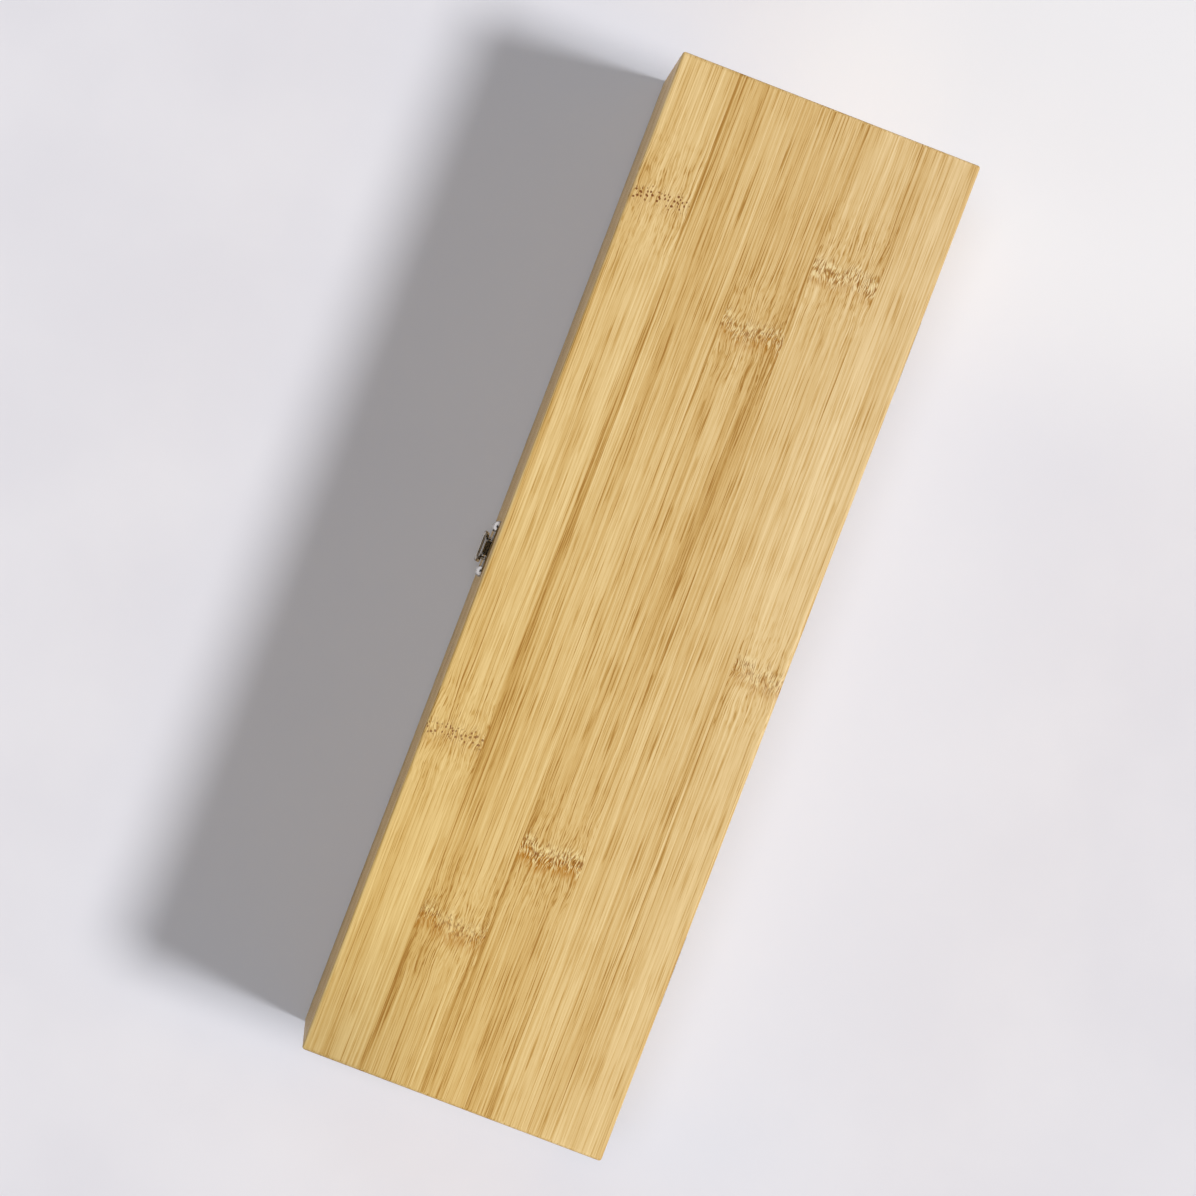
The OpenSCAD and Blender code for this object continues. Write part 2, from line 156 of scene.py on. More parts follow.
class Shading:
    """A node tree. Every node is added by its method node."""

    def __init__(self, tree: bpy.types.NodeTree) -> None:
        """Clears a node tree to build in."""
        self.tree = tree
        self.tree.nodes.clear()

    def node(self, kind: str, settings: dict, inputs: dict) -> bpy.types.Node:
        """Adds a node.

        Args:
            kind: The node's type.
            settings: Its properties, set before its sockets. A ramp's stops are a list of
                (position, colour) under "stops".
            inputs: A value or a wire for each named or numbered input socket.

        Returns:
            The node.
        """
        made = self.tree.nodes.new(kind)
        for name, setting in settings.items():
            if name == "stops":
                self.set_stops(made.color_ramp, setting)
            else:
                setattr(made, name, setting)
        for name, value in inputs.items():
            self.feed(made.inputs[name], value)
        return made

    def set_stops(self, ramp: bpy.types.ColorRamp, stops: list[tuple[float, Colour]]) -> None:
        """Gives a ramp its stops.

        Args:
            ramp: The ramp.
            stops: The position and colour of each, in order of position.
        """
        while len(ramp.elements) < len(stops):
            ramp.elements.new(1.0)
        for element, (position, colour) in zip(ramp.elements, stops):
            element.position = position
            element.color = (*colour, 1.0)

    def feed(self, socket: bpy.types.NodeSocket, value: object) -> None:
        """Links a wire to a socket, or sets the socket's own value.

        Args:
            socket: The socket.
            value: The wire, or the value. A colour is given without its alpha.
        """
        if isinstance(value, Wire):
            self.tree.links.new(value.socket, socket)
        elif socket.type == "RGBA":
            socket.default_value = (*value, 1.0)
        else:
            socket.default_value = value

    def wire(self, node: bpy.types.Node, output: int | str) -> Wire:
        """Wraps one output of a node."""
        return Wire(self, node.outputs[output])

    def math(self, operation: str, *values: Value) -> Wire:
        """Adds a Math node.

        Args:
            operation: The node's operation.
            *values: Its inputs, as numbers or wires.

        Returns:
            The result.
        """
        made = self.node("ShaderNodeMath", {"operation": operation}, dict(enumerate(values)))
        return self.wire(made, 0)

    def place(self) -> Wire:
        """The point in the piece's own frame, in millimetres."""
        spot = self.node("ShaderNodeTexCoord", {}, {})
        return self.scaled(self.wire(spot, "Object"), (1 / MM,) * 3, (0, 0, 0))

    def facing(self) -> list[Wire]:
        """The three numbers of the surface's own direction."""
        spot = self.node("ShaderNodeTexCoord", {}, {})
        return self.parts(self.wire(spot, "Normal"))

    def scaled(self, vector: Wire, scale: Triple, shift: Triple) -> Wire:
        """A vector times scale, plus shift.

        Args:
            vector: The vector.
            scale: What each of its numbers is multiplied by.
            shift: What is then added to each.

        Returns:
            The new vector.
        """
        made = self.node(
            "ShaderNodeVectorMath",
            {"operation": "MULTIPLY_ADD"},
            {0: vector, 1: scale, 2: shift},
        )
        return self.wire(made, 0)

    def parts(self, vector: Wire) -> list[Wire]:
        """The three numbers of a vector."""
        split = self.node("ShaderNodeSeparateXYZ", {}, {0: vector})
        return [self.wire(split, i) for i in range(3)]

    def vector(self, *values: Value) -> Wire:
        """A vector from three numbers."""
        return self.wire(self.node("ShaderNodeCombineXYZ", {}, dict(enumerate(values))), 0)

    def noise(self, vector: Wire, detail: float) -> Wire:
        """Soft noise round 0.5, with one swell per unit of the vector.

        Args:
            vector: Where to read it.
            detail: How many finer octaves it has.

        Returns:
            The noise, about 0.25 to 0.75.
        """
        made = self.node(
            "ShaderNodeTexNoise", {}, {"Vector": vector, "Scale": 1.0, "Detail": detail}
        )
        return self.wire(made, 0)

    def cells(self, vector: Wire, scale: float, flat: bool = False) -> Wire:
        """How far a place is from the nearest of the points strewn about, one in each cell.

        Args:
            vector: Where to read it.
            scale: How many cells there are per unit of the vector.
            flat: Whether the cells lie in a plane, and not in space.

        Returns:
            The distance, as a share of a cell's width.
        """
        made = self.node(
            "ShaderNodeTexVoronoi",
            {"voronoi_dimensions": "2D" if flat else "3D"},
            {"Vector": vector, "Scale": scale},
        )
        return self.wire(made, "Distance")

    def mixed(
        self,
        factor: Value,
        first: "Wire | Colour",
        second: "Wire | Colour",
        blend: Blend = Blend.BETWEEN,
    ) -> Wire:
        """A colour that goes from the first to the second as the factor goes from 0 to 1.

        Args:
            factor: How far it has gone.
            first: The first colour.
            second: The second colour, or what the first is multiplied by.
            blend: Whether it goes to the second colour or is tinted by it.

        Returns:
            The colour.
        """
        made = self.node(
            "ShaderNodeMix",
            {"data_type": "RGBA", "blend_type": blend.value},
            {"Factor": factor, 6: first, 7: second},
        )
        return self.wire(made, 2)

    def bump(self, height: Wire, rise: float) -> Wire:
        """A normal that is tilted by a height.

        Args:
            height: The height, 0 to 1.
            rise: The height of 1, in millimetres.

        Returns:
            The normal.
        """
        made = self.node("ShaderNodeBump", {}, {"Height": height, "Distance": rise * MM})
        return self.wire(made, 0)


class Surface(Shading):
    """The node tree of one finish, with a Principled surface."""

    def __init__(self, name: str) -> None:
        """Makes the material.

        Args:
            name: The material's name.
        """
        self.material = bpy.data.materials.new(name)
        self.material.use_nodes = True
        super().__init__(self.material.node_tree)
        self.principled = self.node("ShaderNodeBsdfPrincipled", {}, {})
        self.node("ShaderNodeOutputMaterial", {}, {"Surface": self.wire(self.principled, 0)})

    def dress(self, sockets: dict) -> None:
        """Sets or links the Principled surface's own sockets."""
        for name, value in sockets.items():
            self.feed(self.principled.inputs[name], value)


# Finishes


@dataclass(frozen=True)
class GlueLine:
    """A line where two strips of bamboo are glued edge to edge.

    Attributes:
        at: Where it lies across the strips.
        shade: How dark the strip is beside it, 0 to 1.
        reach: How far the dark band reaches; below 0 it lies on the lower side.
    """

    at: float
    shade: float = 0.3
    reach: float = 2.0


@dataclass(frozen=True)
class StalkNode:
    """A node of the bamboo stalk, which crosses one strip as a band of flecks.

    Attributes:
        strip: Which strip it crosses, counted from the low side.
        at: Where it lies along the strip.
        flecks: How strong its light and dark flecks are, 0 to 1.
        stain: How strong the honey stain beyond it is, 0 to 1.
        dots: How strong its dark dots are, 0 to 1.
    """

    strip: int
    at: float
    flecks: float = 0.8
    stain: float = 0.5
    dots: float = 0.4


@dataclass(frozen=True)
class BoardPlace:
    """Where a point lies in its board.

    Attributes:
        along: Its place along the strips.
        across: Its place across the strips.
        depth: Its place through the board.
        sides: 1 above each glue line, and 0 below it.
    """

    along: Wire
    across: Wire
    depth: Wire
    sides: list[Wire]


@dataclass
class StalkMasks:
    """How close a point is to the stalk nodes of its strip, 0 far to 1 near.

    Attributes:
        sway: Where the fibres sway and break up into dashes.
        swirl: Where they swirl.
        flecks: Where the light and dark flecks are.
        dots: Where the dark dots are.
        stain: Where the honey stain is.
    """

    sway: Value = 0.0
    swirl: Value = 0.0
    flecks: Value = 0.0
    dots: Value = 0.0
    stain: Value = 0.0


@dataclass(frozen=True)
class FibreLayer:
    """A layer of soft noise in the wood, drawn out along the fibres.

    Attributes:
        length: How long a swell is, along the fibres.
        width: How wide it is, across them.
        detail: How many finer octaves it has.
        start: Where it begins, so that no two layers agree.
        weight: How much it changes the tone of the wood.
    """

    length: float
    width: float
    detail: float
    start: Triple
    weight: float = 0.0

    def read(self, shading: Shading, fibre: Wire) -> Wire:
        """Reads the layer.

        Args:
            shading: The finish's node tree.
            fibre: The place in the fibres.

        Returns:
            The noise, about 0.25 to 0.75.
        """
        scale = (1 / self.length, 1 / self.width, 1 / self.width)
        return shading.noise(shading.scaled(fibre, scale, self.start), self.detail)


@dataclass(frozen=True)
class Mark:
    """A colour that marks the wood.

    Attributes:
        colour: The colour.
        strength: How much of the wood's own colour it covers, 0 to 1.
        blend: Whether it covers the wood or tints it.
    """

    colour: Colour
    strength: float = 1.0
    blend: Blend = Blend.BETWEEN

    def on(self, shading: Shading, wood: Wire, mask: Wire) -> Wire:
        """The wood's colour, marked where the mask is 1."""
        return shading.mixed(mask * self.strength, wood, self.colour, self.blend)


# The layers of the wood, the ones that change its tone first
BANDS = FibreLayer(160, 7, 0.5, (1, 2, 3), 0.45)
STREAKS = FibreLayer(60, 2.6, 0.0, (5, 1, 7), 0.25)
GRAIN = FibreLayer(70, 0.6, 2.0, (2, 9, 4), 1.15)
DARK_LINES = FibreLayer(18, 0.4, 0.0, (8, 3, 6), 0.28)
DASHES = FibreLayer(3.6, 0.42, 0.0, (6, 5, 1), 0.28)
HONEY_CLOUDS = FibreLayer(7, 1.3, 1.0, (3, 8, 1))
FLECKS = FibreLayer(2.3, 0.34, 0.8, (9, 4, 2))

# From the darkest tone to the palest
WOOD_STOPS = [
    (0.0, srgb(168, 121, 52)),
    (0.12, srgb(187, 144, 77)),
    (0.2, srgb(197, 157, 92)),
    (0.29, srgb(205, 167, 105)),
    (0.365, srgb(212, 175, 114)),
    (0.5, srgb(219, 186, 129)),
    (0.635, srgb(226, 195, 142)),
    (0.8, srgb(234, 205, 154)),
    (1.0, srgb(242, 216, 168)),
]
HONEY = Mark(srgb(180, 120, 16))
PALE_FLECK = Mark(srgb(244, 224, 174), 0.8)
DARK_FLECK = Mark(srgb(134, 80, 0), 0.85)
DOT = Mark(srgb(118, 60, 0), 0.92)
CUT_END = Mark(srgb(176, 128, 74), 0.42)
PORE = Mark(srgb(112, 72, 38), 0.55)
# Painted warm light: a yellow tint that stands in for warmer light towards the front and the
# right
PAINTED_WARM_LIGHT = Mark((1.0, 0.965, 0.72), 1.0, Blend.TINT)
# Painted shade: a grey tint that darkens the front right corner of the wood
PAINTED_CORNER_SHADE = Mark((0.76, 0.76, 0.8), 1.0, Blend.TINT)

# How many there are per millimetre, and the distances from one that are clear of it and in it
DOTS_PER_MM = (1 / 1.7, 1 / 1.2, 0)
DOT_EDGE = (0.31, 0.19)
PORES_PER_MM = 1.15
PORE_EDGE = (0.42, 0.18)

# How far along each strip's fibres are moved, so that no two strips agree
STRIP_SHIFT = 613
# The tone of wood that no layer darkens or lightens
FLAT_TONE = 0.585
# How strong the dashes are far from a stalk node
FAINT_DASHES = 0.05

# How long and wide a sway of the fibres is near a stalk node, and how far they move
SWAY_LENGTH, SWAY_WIDTH, SWAY = 13, 5, 2.8
SWIRL_LENGTH, SWIRL_WIDTH, SWIRL = 3.5, 2, 0.9
# How wide a jag of a stalk node's band is, and how far it reaches
COARSE_JAG_WIDTH, COARSE_JAG = 3.1, 5
FINE_JAG_WIDTH, FINE_JAG = 0.9, 4

# How far from a stalk node each of its marks begins, and where it is full
SWAY_REACH = (30, 2)
SWIRL_REACH = (8, 1)
FLECK_REACH = (6.0, 1.2)
DOT_REACH = (2.6, 1.4)
STAIN_START = (-1.0, 0.8)
STAIN_END = (7.5, 3)

# The hairline where two strips meet
LINE_REACH = (0.35, 0.05)
LINE_SHADE = 0.1

# Where the painted warm light lies on the box, and where painted shade darkens its front right
# corner, from none to full
WARM_LIGHT_ALONG = (-190, 190)
WARM_LIGHT_ACROSS = (60, -60)
CORNER_SHADE_ALONG = (105, 200)
CORNER_SHADE_ACROSS = (0, -45)

GRAIN_RISE = 0.02
LACQUER_ROUGHNESS = 0.5
LACQUER_GLINT = 0.3


@dataclass(frozen=True)
class Bamboo:
    """Lacquered board of flat bamboo strips, glued edge to edge.

    Attributes:
        name: The board that it is for.
        along: The axis that the fibres follow.
        across: The axis across the strips.
        lines: Its glue lines, from the low side.
        nodes: The stalk nodes in its strips.
        tones: How much lighter each strip is than the last.
        seed: A number that gives each board its own fibres.
        tone: How light the whole board is, about 0.
    """

    name: str
    along: Axis
    across: Axis
    lines: tuple[GlueLine, ...]
    nodes: tuple[StalkNode, ...]
    tones: tuple[float, ...] = ()
    seed: float = 0.0
    tone: float = 0.0

    def make(self) -> bpy.types.Material:
        """Builds the finish.

        Returns:
            The material.
        """
        shading = Surface(f"bamboo_{self.name}")
        split = shading.parts(shading.place())
        facing = [abs(part) for part in shading.facing()]
        rest = ({0, 1, 2} - {self.along.value, self.across.value}).pop()
        across = split[self.across.value]
        sides = [across > line.at for line in self.lines]
        spot = BoardPlace(split[self.along.value], across, split[rest], sides)
        masks = self.stalk_masks(shading, spot)
        fibre = self.fibre_place(shading, spot, masks)
        tone = self.tone_of(shading, fibre, spot, masks)
        ramp = shading.node("ShaderNodeValToRGB", {"stops": WOOD_STOPS}, {"Fac": tone})
        colour, raised = self.flecked(shading, shading.wire(ramp, 0), fibre, masks)
        dots = shading.cells(shading.scaled(fibre, DOTS_PER_MM, (0, 0, 0)), 1.0, flat=True)
        dots = dots.smooth(*DOT_EDGE) * masks.dots * facing[rest].smooth(0.4, 0.8)
        colour = DOT.on(shading, colour, dots)
        # Painted warm light towards the front and the right, and painted shade on the front right
        # corner
        colour = self.painted_light_and_shade(shading, colour, split)
        ends = facing[self.along.value].smooth(0.8, 0.97)
        pores = shading.cells(shading.vector(across, spot.depth, 0.0), PORES_PER_MM)
        pores = ends * pores.smooth(*PORE_EDGE)
        colour = PORE.on(shading, CUT_END.on(shading, colour, ends), pores)
        shading.dress(
            {
                "Base Color": colour,
                "Roughness": LACQUER_ROUGHNESS - tone * 0.1,
                "Normal": shading.bump(tone + raised - dots * 0.15 - pores, GRAIN_RISE),
                "Specular IOR Level": LACQUER_GLINT,
            }
        )
        return shading.material

    def stalk_masks(self, shading: Surface, spot: BoardPlace) -> StalkMasks:
        """Finds how close a point is to the stalk nodes of its strip.

        Args:
            shading: The finish's node tree.
            spot: Where the point is.

        Returns:
            The masks.
        """
        coarse = shading.vector(spot.across * (1 / COARSE_JAG_WIDTH), self.seed, 0.5)
        fine = shading.vector(spot.across * (1 / FINE_JAG_WIDTH), self.seed, 7.5)
        jag = (shading.noise(coarse, 0.0) - 0.5) * COARSE_JAG
        jag = jag + (shading.noise(fine, 1.0) - 0.5) * FINE_JAG
        masks = StalkMasks()
        for node in self.nodes:
            low = spot.sides[node.strip - 1] if node.strip > 0 else 1.0
            inside = low - spot.sides[node.strip] if node.strip < len(spot.sides) else low
            off = spot.along - node.at
            ragged = off + jag
            near = abs(ragged)
            tail = ragged.smooth(*STAIN_START) * ragged.smooth(*STAIN_END)
            masks.sway = masks.sway + inside * abs(off).smooth(*SWAY_REACH)
            masks.swirl = masks.swirl + inside * abs(off).smooth(*SWIRL_REACH)
            masks.flecks = masks.flecks + inside * near.smooth(*FLECK_REACH) * node.flecks
            masks.dots = masks.dots + inside * near.smooth(*DOT_REACH) * node.dots
            masks.stain = masks.stain + inside * tail * node.stain
        return masks

    def fibre_place(self, shading: Surface, spot: BoardPlace, masks: StalkMasks) -> Wire:
        """Finds the place in the fibres, which bend near the stalk nodes.

        Args:
            shading: The finish's node tree.
            spot: Where the point is.
            masks: How close it is to the stalk nodes.

        Returns:
            The place along, across and into the fibres of its own strip.
        """
        strip = sum(spot.sides[1:], start=spot.sides[0]) + self.seed
        along, across = spot.along, spot.across
        sway = shading.vector(along * (1 / SWAY_LENGTH), across * (1 / SWAY_WIDTH), strip)
        swirl = shading.vector(along * (1 / SWIRL_LENGTH), across * (1 / SWIRL_WIDTH), strip)
        bent = across + masks.sway * (shading.noise(sway, 0.0) - 0.5) * SWAY
        bent = bent + masks.swirl * (shading.noise(swirl, 0.0) - 0.5) * SWIRL
        return shading.vector(along + strip * STRIP_SHIFT, bent, spot.depth)

    def tone_of(
        self, shading: Surface, fibre: Wire, spot: BoardPlace, masks: StalkMasks
    ) -> Wire:
        """How light the wood is: long bands, streaks and fine fibres, strip by strip.

        Args:
            shading: The finish's node tree.
            fibre: The place in the fibres.
            spot: Where the point is in the board.
            masks: How close it is to the stalk nodes.

        Returns:
            The tone, 0 dark to 1 pale.
        """
        bands, streaks = BANDS.read(shading, fibre), STREAKS.read(shading, fibre)
        grain = GRAIN.read(shading, fibre)
        tone = (bands - 0.5) * BANDS.weight + (streaks - 0.5) * STREAKS.weight
        tone = tone + (grain - 0.5) * GRAIN.weight
        dark_lines = DARK_LINES.read(shading, fibre).smooth(0.56, 0.66)
        tone = tone - dark_lines * DARK_LINES.weight + (FLAT_TONE + self.tone)
        dashes = DASHES.read(shading, fibre).smooth(0.54, 0.66)
        tone = tone - dashes * (masks.sway * DASHES.weight + FAINT_DASHES)
        for side, step in zip(spot.sides, self.tones):
            tone = tone + side * step
        patchy = (bands + streaks + grain).smooth(1.75, 1.3)
        for line in self.lines:
            off = spot.across - line.at
            band = abs(off - line.reach * 0.4).smooth(abs(line.reach), 0) * line.shade
            tone = tone - band * patchy - abs(off).smooth(*LINE_REACH) * LINE_SHADE
        return tone

    def flecked(
        self, shading: Surface, colour: Wire, fibre: Wire, masks: StalkMasks
    ) -> tuple[Wire, Wire]:
        """Adds the honey stain and the light and dark flecks of the stalk nodes.

        Args:
            shading: The finish's node tree.
            colour: The plain wood.
            fibre: The place in the fibres.
            masks: How close it is to the stalk nodes.

        Returns:
            The colour, and how far the flecks stand up.
        """
        honey = HONEY_CLOUDS.read(shading, fibre).smooth(0.3, 0.55)
        colour = HONEY.on(shading, colour, masks.stain * honey)
        fleck = FLECKS.read(shading, fibre)
        pale, dark = fleck.smooth(0.52, 0.6), fleck.smooth(0.46, 0.38)
        colour = PALE_FLECK.on(shading, colour, masks.flecks * pale)
        colour = DARK_FLECK.on(shading, colour, masks.flecks * dark)
        return colour, masks.flecks * (pale - dark) * 0.7

    def painted_light_and_shade(self, shading: Surface, colour: Wire, split: list[Wire]) -> Wire:
        """Paints warmer light on the wood towards the front and the right, and painted shade on
        the front right corner.

        Args:
            shading: The finish's node tree.
            colour: The wood before the painted light and shade.
            split: The point's place along, across and up the box.

        Returns:
            The colour of the aged wood.
        """
        x, y, _ = split
        right, front = x.smooth(*WARM_LIGHT_ALONG), y.smooth(*WARM_LIGHT_ACROSS)
        # How strong the painted warm light is
        warm_light = right * 0.42 + front * 0.58 - (1 - right) * front * 0.2
        # Where the painted shade darkens the front right corner
        corner_shade = x.smooth(*CORNER_SHADE_ALONG) * y.smooth(*CORNER_SHADE_ACROSS)
        return PAINTED_CORNER_SHADE.on(shading, PAINTED_WARM_LIGHT.on(shading, colour, warm_light), corner_shade)


CLOUDS_PER_MM = (0.35, 0.35, 0.35)
HAIRS_PER_MM = (0.9, 7, 7)
WORN_SHADE = 0.93
RUB_RISE = 0.012


@dataclass(frozen=True)
class PlatedSteel:
    """Pressed steel with a bright plating, lightly rubbed.

    Attributes:
        name: The material's name.
        colour: The plating's colour, 0 to 255.
        gloss: How rough it is where it is clean.
        rub: How much rougher it is where it is rubbed.
    """

    name: str
    colour: Colour
    gloss: float
    rub: float

    def make(self) -> bpy.types.Material:
        """Builds the finish.

        Returns:
            The material.
        """
        shading = Surface(self.name)
        place = shading.place()
        cloud = shading.noise(shading.scaled(place, CLOUDS_PER_MM, (4, 1, 9)), 3.0)
        hair = shading.noise(shading.scaled(place, HAIRS_PER_MM, (0, 3, 5)), 2.0)
        worn = cloud.smooth(0.4, 0.75)
        dull = srgb(*(step * WORN_SHADE for step in self.colour))
        shading.dress(
            {
                "Base Color": shading.mixed(worn, srgb(*self.colour), dull),
                "Metallic": 1.0,
                "Roughness": worn * self.rub + hair * 0.08 + self.gloss,
                "Normal": shading.bump(cloud * 0.6 + hair * 0.3, RUB_RISE),
            }
        )
        return shading.material


NICKEL = PlatedSteel("nickel_plate", (176, 171, 163), 0.04, 0.06)
SCREW_STEEL = PlatedSteel("screw_metal", (222, 220, 215), 0.14, 0.12)


# The box

# How much lighter each strip is than the last, and how light the whole board is
LID_TONES = (-0.05, -0.07, 0.145, 0.0)
LID_TONE = -0.01
FLOOR_TONES = (0.1, -0.14, 0.1, -0.02)
WALL_TONES = (0.08, -0.1)
# The upright boards are darker as a whole than the lid panel: partly their own tone, and partly
# painted shade that darkens the front wall, which stands in shade
WALL_TONE_AND_SHADE = -0.09

WALL_LINE_SHADE = 0.35
WALL_LINE_REACH = 1.8
EASE_STEPS = 2
SHARP_ANGLE = 35
SCREW_EASE = 0.03
PUNCH_SPARE = 0.05
SPIN_WELD = 1e-4
# In metres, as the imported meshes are
WELD_REACH = 1e-6


@dataclass
class Boards:
    """The ten bamboo boards of the base and the lid.

    Attributes:
        ease: Width of the eased edge that shows as a hairline where boards meet.
        finishes: The finish of each board, by its node's name.
    """

    ease: float = 0.15
    finishes: dict[str, Bamboo] = field(default_factory=dict)

    def __post_init__(self) -> None:
        """Gives each board its strips and stalk nodes."""
        x, y = Axis.LENGTH, Axis.DEPTH
        lid_lines = (
            GlueLine(-32.4, 0.34, 3.2),
            GlueLine(-9.3, 0.32, -2.6),
            GlueLine(12.3, 0.22, 1.6),
            GlueLine(34.9, 0.26, -3.4),
        )
        lid_nodes = (
            StalkNode(0, -127, 0.25, 0.1, 1.0),
            StalkNode(0, 61, 0.45, 0.2, 0.8),
            StalkNode(1, 120, 0.6, 0.6, 0.4),
            StalkNode(2, -96.5, 0.75, 0.5, 0.3),
            StalkNode(2, 87.5, 1.0, 1.0, 0.4),
            StalkNode(3, -125, 0.9, 0.3, 0.1),
            StalkNode(4, 8, 0.7, 0.35, 0.2),
        )
        floor_lines = (GlueLine(-31.5), GlueLine(-10.2, 0.4, -2), GlueLine(11.4), GlueLine(32.6))
        floor_nodes = (
            StalkNode(0, 92, 0.6, 0.4),
            StalkNode(1, -58, 0.8, 0.6),
            StalkNode(2, 133, 0.7, 0.4),
            StalkNode(3, -140, 0.9, 0.6),
            StalkNode(3, 66, 0.7, 0.5),
            StalkNode(4, -12, 0.8, 0.5),
        )
        boards = (
            Bamboo("lid_panel", x, y, lid_lines, lid_nodes, LID_TONES, 0.0, LID_TONE),
            Bamboo("base_panel", x, y, floor_lines, floor_nodes, FLOOR_TONES, 11.0),
            self.upright("base_front_wall", x, (27, 48.5), ((0, 118), (1, -74), (2, 36)), 23.0),
            self.upright("base_back_wall", x, (28, 50), ((0, -96), (1, 62), (2, -8)), 31.0),
            self.upright("lid_front_rail", x, (82.6,), ((0, 84), (1, -112)), 43.0),
            self.upright("lid_back_rail", x, (81.4,), ((0, -34), (1, 128)), 57.0),
            self.upright("base_left_end", y, (26.5, 48), ((0, -22), (2, 31)), 61.0),
            self.upright("base_right_end", y, (28, 49.5), ((1, 12),), 73.0),
            self.upright("lid_left_rail", y, (82.2,), ((1, 18),), 83.0),
            self.upright("lid_right_rail", y, (81.6,), ((0, -27),), 97.0),
        )
        self.finishes = {board.name: board for board in boards}

    def upright(
        self,
        name: str,
        along: Axis,
        lines: tuple[float, ...],
        nodes: tuple[tuple[int, float], ...],
        seed: float,
    ) -> Bamboo:
        """The finish of a board that stands on its edge, with level strips.

        Args:
            name: The board's node.
            along: The axis that its fibres follow.
            lines: The heights of its glue lines.
            nodes: The strip and the place along it of each stalk node.
            seed: The board's own number.

        Returns:
            The finish.
        """
        return Bamboo(
            name,
            along,
            Axis.HEIGHT,
            tuple(GlueLine(height, WALL_LINE_SHADE, WALL_LINE_REACH) for height in lines),
            tuple(StalkNode(strip, at) for strip, at in nodes),
            WALL_TONES,
            seed,
            # The board's tone, partly painted shade
            WALL_TONE_AND_SHADE,
        )

    def build(self) -> None:
        """Eases the boards' edges and lacquers them."""
        for name, finish in self.finishes.items():
            dress_node(name, finish.make(), self.ease)


def dress_node(name: str, material: bpy.types.Material, ease: float) -> None:
    """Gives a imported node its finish, and eases its sharp edges.

    Args:
        name: The node.
        material: Its finish.
        ease: How wide the eased edge is.
    """
    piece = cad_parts[name]
    for slot in piece.material_slots:
        slot.material = material
    weld = piece.modifiers.new("weld", "WELD")
    weld.merge_threshold = WELD_REACH
    ease_edges(piece, ease, EASE_STEPS)
    log.info("dressed %s", name)


def ease_edges(piece: bpy.types.Object, width: float, segments: int) -> None:
    """Eases the sharp edges of a piece.

    Args:
        piece: The piece.
        width: How wide the eased edge is.
        segments: How many faces the eased edge has.
    """
    bevel = piece.modifiers.new("ease", "BEVEL")
    bevel.width = width * MM
    bevel.segments = segments
    bevel.limit_method = "ANGLE"
    bevel.angle_limit = math.radians(SHARP_ANGLE)
    bevel.harden_normals = True


@dataclass
class Metalwork:
    """The sheet and wire of the two hinges and the toggle latch, with a plated finish.

    Attributes:
        ease: Width of the eased edge of the pressed sheet.
    """

    ease: float = 0.08

    def build(self) -> None:
        """Plates every sheet, pin and wire."""
        plating = NICKEL.make()
        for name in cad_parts:
            if name.endswith(("_leaf", "_pin", "_plate", "_lever", "_bail")):
                dress_node(name, plating, self.ease)


